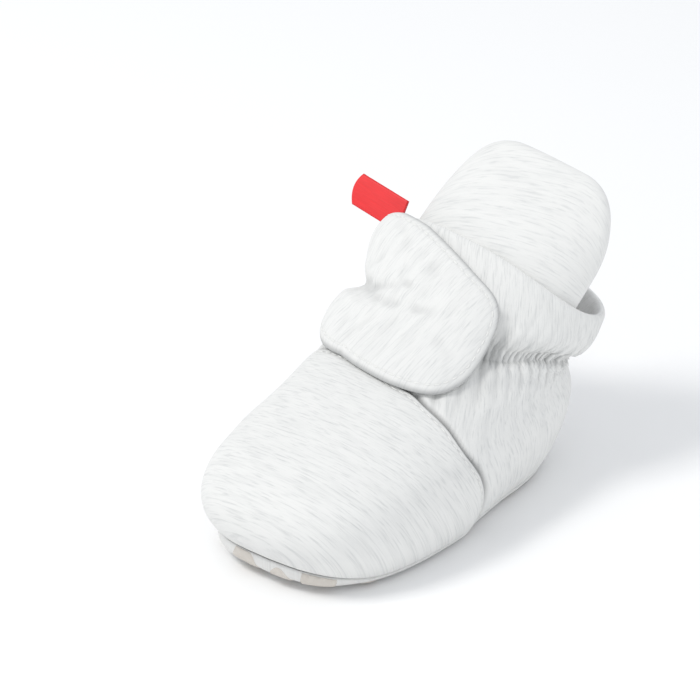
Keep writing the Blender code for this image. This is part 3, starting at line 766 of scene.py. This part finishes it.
# The elastic's row at ways round the ankle: it dips towards the strap's free end
ELASTIC_LINE = np.array([
    (-0.31, 7.7), (0.00, 7.6), (0.26, 7.60), (0.34, 7.65), (0.40, 7.95), (0.46, 8.28), (0.55, 8.40),
    (0.80, 8.20), (1.00, 8.10), (1.30, 8.20), (1.50, 8.10), (1.625, 8.0),
])
from_elastic = rows - np.interp(ways, ELASTIC_LINE[:, 0], ELASTIC_LINE[:, 1])
above = np.maximum(from_elastic, 0.0)
below = np.maximum(-from_elastic, 0.0)
# Rows of pleats: height and spacing in mm, how many rows they reach above and below the elastic, and two
# slow sines, as share of a turn, length and start, that unsettle the spacing
Pleats = namedtuple("Pleats", "height spacing above below "
                              "sway sway_length sway_start jitter jitter_length jitter_start")
FINE = Pleats(1.2, 1.9, 0.5, 0.55, 0.35, 7.3, 0.0, 0.30, 4.1, 1.0)
MIDDLING = Pleats(1.3, 4.2, 1.4, 2.5, 0.45, 13.0, 1.0, 0.30, 6.1, 0.0)
BROAD = Pleats(0.8, 8.6, 1.5, 2.4, 0.40, 19.0, 2.0, 0.25, 11.0, 0.0)
ANKLE_HALF_LENGTH = 104.0
FOLD_SLANT = 3.4
FINE_SLANT = 0.35
FINE_REST = 0.3
FINE_WIDTH = 0.45
MEAN_OF_ARCHES = 0.64


def pleat_turns(place, pleats):
    """Turns of a row of pleats at places along the elastic in mm."""
    return (place / pleats.spacing + pleats.sway * np.sin(place / pleats.sway_length + pleats.sway_start)
            + pleats.jitter * np.sin(place / pleats.jitter_length + pleats.jitter_start))


def near_elastic(rows_above, rows_below):
    """A bell round the elastic, with its own width above and below."""
    return hump(above, 0.0, rows_above) * hump(below, 0.0, rows_below)


round_ankle = ways * ANKLE_HALF_LENGTH
upright = 1 - ramp(ways, 0.6, 0.8)
fold_place = round_ankle - FOLD_SLANT * upright * below
fine_turns = pleat_turns(round_ankle, FINE) + FINE_SLANT * from_elastic
fine = FINE_REST - hump(np.sin(np.pi * fine_turns), 0.0, FINE_WIDTH)
middling = np.abs(np.sin(np.pi * pleat_turns(fold_place, MIDDLING))) - MEAN_OF_ARCHES
broad = np.abs(np.sin(np.pi * pleat_turns(fold_place, BROAD))) - MEAN_OF_ARCHES
uneven = 0.75 + 0.25 * np.sin(round_ankle / 9.0 + 0.7)
tight = uneven * near_elastic(FINE.above, FINE.below)
gather = np.zeros_like(ways)
for wave, pleats in ((fine, FINE), (middling, MIDDLING), (broad, BROAD)):
    gather += pleats.height * wave * uneven * near_elastic(pleats.above, pleats.below)
# Two sewn lines along the elastic, the roll above it, the fullness below it and the elastic's own groove
gather -= 0.5 * (hump(from_elastic, 0.25, 0.10) + hump(from_elastic, -0.25, 0.10))
overhang = 2.1 - 1.5 * ramp(ways, 0.40, 0.12)
band = overhang * hump(from_elastic, 1.15, 0.62)
band += 0.5 * hump(from_elastic, -1.0, 0.5)
band -= 1.8 * hump(from_elastic, 0.0, 0.36)
# The strap's long edges as rows of the upper, from its root to its free end. It presses the gathers flat
Section = namedtuple("Section", "way lower_row upper_row")
STRAP = [
    Section(-0.44, 5.4, 11.0), Section(-0.36, 5.4, 11.1), Section(-0.25, 5.6, 11.0),
    Section(-0.12, 5.8, 10.7), Section(0.00, 5.7, 10.2), Section(0.12, 5.6, 9.7), Section(0.262, 5.5, 9.2),
]
sections = np.array(STRAP)


def strap_row(way, height):
    """Row of the upper under a place on the strap, -1 on its lower and 1 on its upper edge."""
    low = np.interp(way, sections[:, 0], sections[:, 1])
    high = np.interp(way, sections[:, 0], sections[:, 2])
    return mix(low, high, (1 + height) / 2)


inner_way = (ways + 1) % 2 - 1
covered = ramp(STRAP[-1].way - inner_way, 0.01, 0.04) * ramp(inner_way, -0.42, 0.04)
covered *= ramp(rows - strap_row(inner_way, -1.0), 0.1, 0.3)
covered *= ramp(strap_row(inner_way, 1.0) - rows, 0.1, 0.3)
gather *= 1 - covered
band *= 1 - covered
QUARTER_CREASES = [
    Crease([(0.42, 4.6), (0.47, 3.2), (0.50, 2.0)], 2.2, 0.25),
    Crease([(0.56, 6.8), (0.58, 5.0), (0.57, 3.2)], 2.0, 0.28),
    Crease([(0.70, 6.9), (0.70, 5.2), (0.72, 3.8)], 2.2, 0.28),
    Crease([(0.85, 6.8), (0.84, 5.4), (0.83, 4.2)], 2.2, 0.24),
    Crease([(1.10, 6.8), (1.09, 5.0), (1.11, 3.6)], 2.4, 0.26),
    Crease([(1.30, 6.9), (1.31, 5.2), (1.29, 3.9)], 2.4, 0.26),
    Crease([(0.55, 9.0), (0.56, 9.9), (0.57, 10.6)], 2.0, 0.30),
    Crease([(0.75, 8.9), (0.76, 9.8), (0.76, 10.5)], 2.0, 0.25),
    Crease([(1.20, 8.9), (1.22, 9.8), (1.22, 10.5)], 2.2, 0.28),
    Crease([(0.24, 9.4), (0.275, 8.8), (0.29, 8.0), (0.285, 7.2), (0.26, 6.4)], 2.6, 1.7, 0.0),
]
swell = padded_height(skin, to_edge, QUARTER_PADDING)
# The heel's side is hollow where no foot fills it
swell -= 1.1 * hump(ways, 0.8, 0.3) * hump(rows, 4.0, 2.5)
folds = creases(skin, QUARTER_CREASES, upper_points)
swell += (gather + band) * ramp(to_edge, 0.0, 2.5) + folds
depth = WALL / 2 + 0.6 * hump(to_seam, 0.0, 3.0)
crevice = 2.6 * hump(to_seam, 0.0, 0.95)
middle = skin - depth[..., None] * normal
outer = middle + ((depth + swell) * round_off - crevice)[..., None] * normal
lining_lift = (gather + band) * 0.7 + folds - (WALL - depth)
inner = middle + (lining_lift * round_off - crevice)[..., None] * normal


def loop_sheet(outer, inner):
    """Closed form of two grids that share their first and last rows, with a narrow cap at each end."""
    points = np.concatenate([outer, inner[-2:0:-1]])
    rows, columns = points.shape[:2]
    index = np.arange(rows * columns).reshape(rows, columns)
    index = np.concatenate([index, index[:1]])
    caps = [index[:-1, 0].tolist(), index[-2::-1, -1].tolist()]
    return points.reshape(-1, 3), grid_faces(index) + caps


row_count = len(rows)
lining_rows = [0, 1, 2, 4, *range(6, row_count - 6, 3), *(row_count - np.array([5, 3, 2, 1]))]
points, faces = loop_sheet(outer, inner[lining_rows])
# Painted shade in the pleats and the seam, and in the pocket that the elastic draws in beside the strap's
# free end
painted_shade = np.clip(FINE_REST - fine, 0.0, 1.0) ** 1.5 * tight + 0.8 * hump(to_seam, 0.0, 0.7)
painted_shade += 0.4 * np.clip(0.36 - middling, 0.0, 1.0) ** 2 * uneven * near_elastic(1.0, 2.4)
pocket = smooth_line([(0.262, 8.9), (0.275, 8.5), (0.285, 8.0), (0.28, 7.3)], 60)
to_pocket = distance_to(skin, upper_points(*pocket.T))[0]
painted_shade += 0.25 * hump(to_pocket, 0.0, 1.9)
# Painted shadow that the strap casts on the quarter beside its free end
painted_shade += 0.14 * hump(ways, 0.30, 0.06) * hump(rows, 6.2, 1.0)
# The streaks run up the quarter, upright as they are seen from the outer side
flat = joined(rows * 7.5, ways * 110.0 + 4.9 * upright * (rows - 4.0), painted_shade)
weave_and_shade = loop_sheet(flat, flat[lining_rows])[0]
lined = (np.arange(len(faces)) >= (row_count - 1) * (QUARTER_COLUMNS - 1)).astype(int)
quarter = add_piece("quarter", points, faces, [white_jersey, lining], weave_and_shade, lined)
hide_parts("upper")

# Tongue
# A tall flap of two jersey faces bagged out over wadding. Its foot is sewn in at the throat, and it leans
# back out of the collar, softly curved across, with a full rounded edge.
TONGUE_FOOT = 6.5
TONGUE_LEAVES = 10.2
TONGUE_INNER_EDGE = (-0.25, -0.35)
TONGUE_OUTER_EDGE = (0.27, 0.49)
TONGUE_FREE = 36.0
TONGUE_CORNER_FROM = 0.30
TONGUE_CORNER = 0.40
TONGUE_LEAN = 45.0
TONGUE_OUTER_LEAN = 66.0
TONGUE_TWIST = 0.22
TONGUE_DEPTH = 5.6
TONGUE_PINCH = 2.8
TONGUE_PINCH_ROW = 7.8
TONGUE_PINCH_ROWS = 0.9
TONGUE_INNER_CORNER = 0.75
TONGUE_SPREAD = np.array([2.4, 1.8, 0.0])
TONGUE_HALF = 2.2
TONGUE_EDGE = 3.0
TONGUE_CROWN = 0.9
TONGUE_LUMP = 0.3
TONGUE_LUMP_LENGTH = 22.0
TONGUE_SQUARENESS = 7.0
TONGUE_COLUMNS = 260
TONGUE_RINGS = 40
TONGUE_CENTRE = np.array([0.0, 0.6])


def tongue_middle(across, place):
    """The tongue's middle layer: under the upper's face up to its half, then straight lines up and back."""
    inside = np.minimum(place, 0.5) / 0.5
    row = mix(TONGUE_FOOT, TONGUE_LEAVES, inside)
    way = mix(mix(*TONGUE_INNER_EDGE, inside), mix(*TONGUE_OUTER_EDGE, inside), (across + 1) / 2)
    depth = TONGUE_DEPTH + TONGUE_PINCH * hump(row, TONGUE_PINCH_ROW, TONGUE_PINCH_ROWS)
    throat = upper_points(way, row) - depth[..., None] * surface_normals(upper_points, way, row)
    across = np.clip(across, -1.2, 1.2)
    outwards = np.maximum(across, 0.0) ** 2
    lean = np.radians(mix(TONGUE_LEAN, TONGUE_OUTER_LEAN, outwards))
    rise = joined(TONGUE_TWIST, np.cos(lean), np.sin(lean))
    corner = ramp(np.abs(across), TONGUE_CORNER_FROM, 1 - TONGUE_CORNER_FROM)
    corner *= np.where(across < 0, TONGUE_INNER_CORNER, 1.0)
    reach = TONGUE_FREE * (1 - TONGUE_CORNER * corner ** 2) * np.maximum(place - 0.5, 0.0) / 0.5
    wide = ramp(place, 0.5, 0.5) * outwards
    return throat + reach[..., None] * rise + wide[..., None] * TONGUE_SPREAD


angle = np.linspace(0.0, 2 * np.pi, 1200)
circle = joined(np.cos(angle), np.sin(angle))
square = np.sign(circle) * np.abs(circle) ** (2 / TONGUE_SQUARENESS)
square = square * np.array([1.0, 0.5]) + np.array([0.0, 0.5])
tongue_edge = even_line(square, tongue_middle, EDGE_SAMPLES * TONGUE_COLUMNS + 1)[:-1]
across, place, skin, normal, to_edge = panel(tongue_edge, TONGUE_CENTRE, TONGUE_RINGS, tongue_middle, 0.03)
round_off = edge_round(to_edge, TONGUE_EDGE)
TONGUE_CREASES = [
    Crease([(-0.55, 0.55), (-0.2, 0.60), (0.1, 0.58)], 2.4, 0.30),
    Crease([(0.1, 0.66), (0.4, 0.62), (0.7, 0.60)], 2.4, 0.30),
    Crease([(-0.5, 0.8), (-0.1, 0.82), (0.2, 0.8)], 2.6, 0.22),
]
swell = TONGUE_CROWN * fullness(to_edge, 8.0) + TONGUE_LUMP * lumps(skin, TONGUE_LUMP_LENGTH, seed=31)
swell = (swell + creases(skin, TONGUE_CREASES, tongue_middle)) * ramp(place, 0.45, 0.2)
outer = skin + ((TONGUE_HALF + swell) * round_off)[..., None] * normal
inner = skin - ((TONGUE_HALF + 0.5 * swell) * round_off)[..., None] * normal
points, faces = pillow(outer, inner[::2])
# The streaks run across the tongue and rise a little to its inner side
along_grain = across * 27.0 + place * 9.0
across_grain = place * 66.0 - across * 9.0 + across ** 2 * 3.0
flat = joined(along_grain, across_grain, 0.0)
weave_and_shade = pillow(flat, flat[::2])[0]
# The same jersey with its streaks stretched paler over the fuller padding
soft_jersey = heather_jersey("soft heather jersey", "#E3E3E1", "#D1D2D1")
tongue = add_piece("tongue_pad", points, faces, [soft_jersey], weave_and_shade)
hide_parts("tongue")

# Strap
# A wide flap of two jersey faces bagged out over wadding. Its root is sewn into the inner side, where the
# ankle elastic pinches it, and it laps over the instep to a patch under its rounded free end.
STRAP_CORNER_FROM = 0.15
STRAP_CORNER_POWER = 3.2
STRAP_COLUMNS = 340
STRAP_RINGS = 52
STRAP_CENTRE = np.array([-0.09, 8.1])
STRAP_EDGE = 2.2
STRAP_OVER = 1.3
STRAP_UNDER = 0.8
STRAP_PADDING = Padding(1.2, 6.0, 0.28, 17.0, 4.0, 47)
STRAP_GROOVE = 0.18
STRAP_STITCH_INSET = 1.9
STRAP_STITCH_FROM = -0.37
tip_turn = np.linspace(-np.pi / 2, np.pi / 2, 401)
power = 2 / STRAP_CORNER_POWER
tip_way = mix(STRAP_CORNER_FROM, STRAP[-1].way, np.cos(tip_turn) ** power)
tip_half = np.sign(tip_turn) * np.abs(np.sin(tip_turn)) ** power
straight = np.linspace(STRAP[0].way, STRAP_CORNER_FROM, 200)
root = np.linspace(1.0, -1.0, 120)
strap_outline = np.concatenate([
    joined(straight, strap_row(straight, -1.0))[:-1],
    joined(tip_way, strap_row(tip_way, tip_half))[:-1],
    joined(straight, strap_row(straight, 1.0))[::-1][:-1],
    joined(STRAP[0].way - 0.02 * (1 - root ** 2), strap_row(STRAP[0].way, root)),
])
strap_edge = even_line(strap_outline, upper_points, EDGE_SAMPLES * STRAP_COLUMNS + 1)[:-1]
ways, rows, skin, normal, to_edge = panel(strap_edge, STRAP_CENTRE, STRAP_RINGS, upper_points)
root_line = strap_outline[-len(root):]
to_root = distance_to(skin, upper_points(*root_line.T))[0]
round_off = edge_round(to_edge, STRAP_EDGE)


def bell(way, row, way_spread, row_spread):
    """A smooth hump of height 1 over the strap at one way and row."""
    return hump(ways, way, way_spread) * hump(rows, row, row_spread)


STRAP_CREASES = [
    Crease([(-0.36, 8.10), (-0.27, 7.90), (-0.20, 7.75), (-0.10, 7.65)], 2.6, 1.2),
    Crease([(-0.30, 8.05), (-0.22, 8.05), (-0.17, 8.47)], 1.1, 0.45),
    Crease([(-0.24, 7.75), (-0.11, 8.10), (-0.03, 8.50)], 1.2, 0.45),
    Crease([(-0.19, 7.45), (-0.09, 7.55), (0.04, 7.85)], 1.3, 0.45),
    Crease([(-0.28, 7.60), (-0.20, 7.30), (-0.13, 7.20)], 1.2, 0.40),
    Crease([(-0.28, 8.30), (-0.22, 8.70), (-0.19, 9.10)], 1.2, 0.40),
    Crease([(-0.10, 8.50), (-0.06, 8.35), (-0.02, 8.20)], 1.1, 0.35),
    Crease([(0.005, 7.60), (0.035, 7.73), (0.07, 7.88)], 1.3, 0.60),
    Crease([(-0.135, 5.9), (-0.130, 6.2), (-0.132, 6.6)], 0.8, 0.30),
    Crease([(-0.100, 5.9), (-0.098, 6.2), (-0.102, 6.5)], 0.8, 0.30),
    Crease([(-0.180, 5.9), (-0.172, 6.2), (-0.175, 6.7)], 0.9, 0.30),
    Crease([(-0.10, 9.7), (-0.02, 9.2), (0.05, 8.7)], 2.0, 0.30),
    Crease([(0.20, 6.6), (0.14, 7.0), (0.08, 7.2)], 1.8, 0.25),
    Crease([(-0.22, 10.4), (-0.15, 9.9), (-0.12, 9.4)], 1.6, 0.30),
]
# It bridges the instep, is sewn down at its root and stands off a little at its free end
lift = 1.0 + 0.9 * fullness(to_edge, 4.0) - 1.4 * hump(to_root, 0.0, 2.5)
lift += 0.6 * ramp(ways, 0.05, 0.2)
swell = padded_height(skin, to_edge, STRAP_PADDING)
# Two lobes below the elastic's pinch, one above it, and the pinch
swell += 2.4 * bell(-0.29, 6.9, 0.09, 0.75) + 1.6 * bell(-0.29, 6.1, 0.09, 0.7)
swell += 1.7 * bell(-0.30, 9.9, 0.10, 1.1) - 1.0 * bell(-0.33, 8.0, 0.09, 0.45)
folds = creases(skin, STRAP_CREASES, upper_points)
# Puckers of two sizes lie along the grain, about twice as long as wide
along_grain = rows * 7.5 + ways * 30.0
across_grain = ways * 110.0 - rows * 2.0
puckers = joined(0.45 * along_grain, across_grain, 0.0)
folds += 0.75 * lumps(puckers, 5.4, seed=61) * bell(-0.06, 7.9, 0.20, 1.6)
folds += 0.6 * lumps(puckers, 3.6, seed=59) * bell(-0.08, 7.9, 0.20, 1.9)
swell += folds - STRAP_GROOVE * hump(to_edge, STRAP_STITCH_INSET, STITCH_GROOVE_WIDTH)
middle = skin + lift[..., None] * normal
outer = middle + ((STRAP_OVER + swell) * round_off)[..., None] * normal
inner = middle - (STRAP_UNDER * round_off)[..., None] * normal
points, faces = pillow(outer, inner[::3])
# Painted shade along the edge, in the groove of the stitches and in the folds
painted_shade = 0.5 * hump(to_edge, 0.0, 0.6) + 0.08 * hump(to_edge, STRAP_STITCH_INSET, 0.3)
painted_shade += 0.26 * np.clip(-folds, 0.0, 1.0)
flat = joined(along_grain, across_grain, painted_shade)
weave_and_shade = pillow(flat, flat[::3])[0]
strap = add_piece("strap_pad", points, faces, [soft_jersey], weave_and_shade)
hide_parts("strap")

# Strap stitches
# The same thread, sewn round the strap's free edges after it is turned right side out.
stitch_line, stitch_out = inset_line(to_edge, STRAP_STITCH_INSET, [outer, normal])
sewn = strap_edge[::EDGE_SAMPLES, 0] > STRAP_STITCH_FROM
strap_thread = stitches("strap_stitches", stitch_line[sewn], stitch_out[sewn], thread)

# Side tag
# A short length of plain red ribbon, folded in half and caught in the strap's root seam by its two ends.
# The fold stands out to the inner side, and the ribbon curls a little.
TAG_WAY = -0.44
TAG_ROWS = np.array([10.5, 11.9])
TAG_GAP = 0.4
TAG_OUT = np.array([-0.97, 0.0, 0.22])
TAG_LENGTH = 18.0
TAG_WIDTH = 10.0
TAG_THICK = 0.35
TAG_CURL = 1.5
TAG_SWAY = 0.5
TAG_SWAY_TURN = 2.6
TAG_FULLER = 0.09
TAG_FOLD = 0.55
TAG_ROOT_FOLD = 0.35
tag_ways = np.full(2, TAG_WAY)
seat = upper_points(tag_ways, TAG_ROWS) + TAG_GAP * surface_normals(upper_points, tag_ways, TAG_ROWS)
tag_face = unit(np.cross(TAG_OUT, seat[1] - seat[0]))
tag_face *= np.sign(tag_face[1])
reach = np.linspace(0.0, 1.0, 40)
turn = np.linspace(-np.pi / 2, np.pi / 2, 13)[1:-1]
straight = TAG_LENGTH - TAG_FOLD
half_fold = TAG_FOLD * np.minimum(1.0, TAG_ROOT_FOLD + reach)
path_out = np.concatenate([reach * straight, straight + TAG_FOLD * np.cos(turn), reach[::-1] * straight])
path_side = np.concatenate([-half_fold, TAG_FOLD * np.sin(turn), half_fold[::-1]])
tag_width = np.linspace(0.0, 1.0, 16)[:, None]
base = mix(seat[0], seat[1], tag_width)
along_tag = path_out / TAG_LENGTH
bow = TAG_CURL * along_tag ** 2 + TAG_SWAY * np.sin(along_tag * TAG_SWAY_TURN)
fuller = 1 + TAG_FULLER * (1 - (2 * tag_width - 1) ** 2)
points = (base[:, None] + (fuller * path_out)[..., None] * TAG_OUT
          + (path_side + bow)[None, :, None] * tag_face)
faces = grid_faces(np.arange(fuller.size * path_out.size).reshape(fuller.size, path_out.size))
# Woven ribbon has fine threads along its length and a slight sheen. They are drawn about twice as coarse
# as real ones, so that they show.
ribbon = grained("red woven ribbon", "#EE2328", "#D2171D", (6.0, 0.5, 1.0), 0.08,
                 {"Roughness": 0.5, "Sheen Weight": 0.1})
travelled = travel(joined(path_out, path_side))
weave_and_shade = joined(travelled[None, :], tag_width * TAG_WIDTH, 0.0)
tag = add_piece("side_ribbon", points.reshape(-1, 3), faces, [ribbon], weave_and_shade.reshape(-1, 3))
thick = tag.modifiers.new("ribbon thickness", "SOLIDIFY")
thick.thickness = TAG_THICK * MM
thick.offset = 0.0
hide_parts("side_tag")

# Floor, light and camera
# A plain pale floor, a broad soft light from the left and above, and the camera at the photo's angle.
FLOOR_HALF = 4.0
floor_mesh = bpy.data.meshes.new("floor")
corners = [(x * FLOOR_HALF, y * FLOOR_HALF, 0.0) for x, y in ((-1, -1), (1, -1), (1, 1), (-1, 1))]
floor_mesh.from_pydata(corners, [], [(0, 1, 2, 3)])
pale = {"Base Color": linear("#F7F7F7"), "Roughness": 0.9, "Specular IOR Level": 0.1}
floor_mesh.materials.append(principled("pale floor", pale)[0])
floor = bpy.data.objects.new("floor", floor_mesh)
bpy.context.scene.collection.objects.link(floor)

AZIMUTH = np.radians(39.5)
ELEVATION = np.radians(28.0)
EYE_DISTANCE = 0.8
TARGET = np.array([0.0, 0.0, 0.030])
FOCAL_PIXELS = 2936.0
FRAME_PIXELS = 700.0
TARGET_PIXEL = np.array([402.0, 404.5])
right = np.array([np.cos(AZIMUTH), np.sin(AZIMUTH), 0.0])
level = np.array([np.sin(AZIMUTH), -np.cos(AZIMUTH), 0.0])
towards = np.cos(ELEVATION) * level + np.array([0.0, 0.0, np.sin(ELEVATION)])
up = np.cross(towards, right)
eye = TARGET + EYE_DISTANCE * towards
offset = (TARGET_PIXEL - FRAME_PIXELS / 2) * EYE_DISTANCE / FOCAL_PIXELS
aim = TARGET - offset[0] * right + offset[1] * up
back = unit(eye - aim)
side = unit(np.cross(up, back))
camera = bpy.data.objects.new("camera", bpy.data.cameras.new("camera"))
camera.data.sensor_width = 36.0
camera.data.lens = FOCAL_PIXELS / FRAME_PIXELS * camera.data.sensor_width
camera.data.clip_start = 0.05
camera.data.clip_end = 20.0
turn = np.stack([side, np.cross(back, side), back], axis=1)
camera.matrix_world = Matrix.LocRotScale(Vector(eye), Matrix(turn.tolist()).to_quaternion(), None)
bpy.context.scene.collection.objects.link(camera)
bpy.context.scene.camera = camera

Light = namedtuple("Light", "name distance right towards up size power colour")
LIGHTS = [
    Light("key light", 1.3, -0.56, 0.18, 0.82, 0.38, 6.8, (1.0, 0.985, 0.96)),
    Light("fill light", 1.2, 0.62, 0.76, 0.14, 0.70, 1.9, (1.0, 1.0, 1.0)),
]
# Square lights that face the middle of the shoe, placed from it to the camera's right, towards it and up
for light in LIGHTS:
    lamp = bpy.data.objects.new(light.name, bpy.data.lights.new(light.name, "AREA"))
    lamp.data.shape = "SQUARE"
    lamp.data.size = light.size
    lamp.data.energy = light.power
    lamp.data.color = light.colour
    away = light.distance * (light.right * right + light.towards * level + np.array([0.0, 0.0, light.up]))
    lamp.location = Vector(TARGET + away)
    lamp.rotation_euler = Vector(away).to_track_quat("Z", "Y").to_euler()
    bpy.context.scene.collection.objects.link(lamp)
world = bpy.data.worlds.new("soft studio")
bpy.context.scene.world = world
world.use_nodes = True
sky = world.node_tree.nodes["Background"]
sky.inputs["Color"].default_value = (0.945, 0.968, 1.0, 1.0)
sky.inputs["Strength"].default_value = 0.84
bpy.context.scene.view_settings.view_transform = "Standard"
